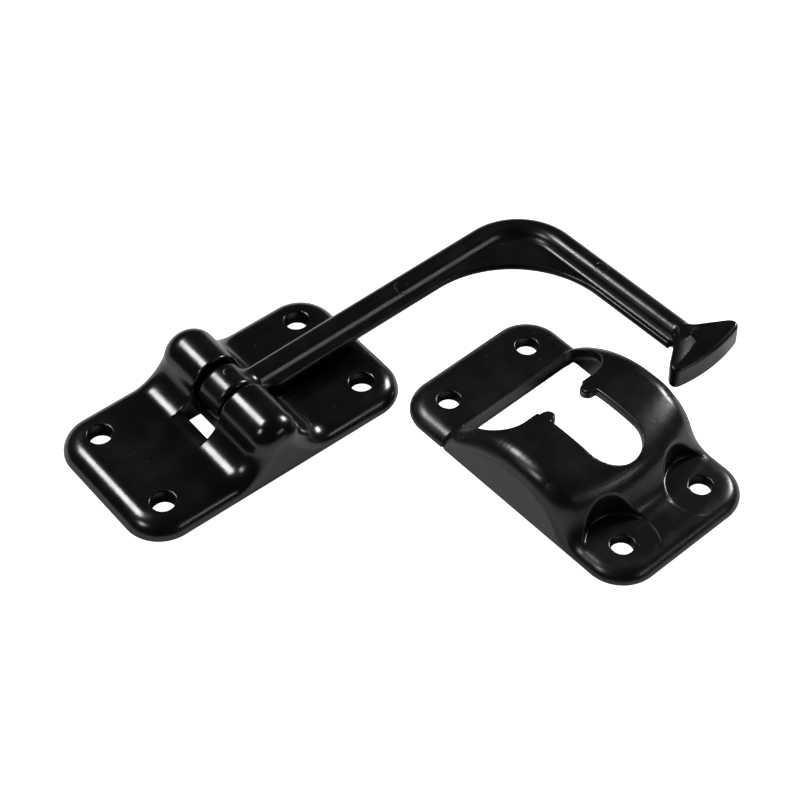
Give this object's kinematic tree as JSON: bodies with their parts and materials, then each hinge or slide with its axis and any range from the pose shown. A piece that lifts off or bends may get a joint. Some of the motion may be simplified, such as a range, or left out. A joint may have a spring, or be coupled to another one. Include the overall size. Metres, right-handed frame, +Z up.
{
  "type": "T-style door holder",
  "caption": "Screw-down door holder: a hinge plate with a swinging L-shaped arm ending in a T-head, and a separate hooded socket plate that catches the head.",
  "frame": {"origin": "below the middle of the whole object, on the plane that both plates lie on", "axes": "+Z up out of both plates' backs, +X along the hinge plate and the arm's long leg, towards the bend"},
  "size_m": [0.1426, 0.1167, 0.0161],
  "materials": {
    "plate_plastic": "black moulded plastic, semi-gloss",
    "arm_plastic": "black moulded plastic, semi-gloss, with round ejector marks",
    "socket_plastic": "black moulded plastic, a little duller than the hinge plate",
    "pin_steel": "plain drawn wire"
  },
  "bodies": {
    "hinge_plate": {"hinge_plate": "plate_plastic", "hinge_pin": "pin_steel"},
    "arm": {"arm": "arm_plastic"},
    "socket_plate": {"socket_plate": "socket_plastic"}
  },
  "joints": [
    {"name": "arm_swing", "type": "hinge", "parent": "hinge_plate", "child": "arm", "pos_m": [-0.03335, 0.03735, 0.0088], "axis": [0, -1, 0], "range_deg": [-2.9, 179.4]},
    {"name": "socket_lift", "type": "slide", "parent": "hinge_plate", "child": "socket_plate", "axis": [0, 0, 1], "range_m": [0, 0.03]}
  ]
}
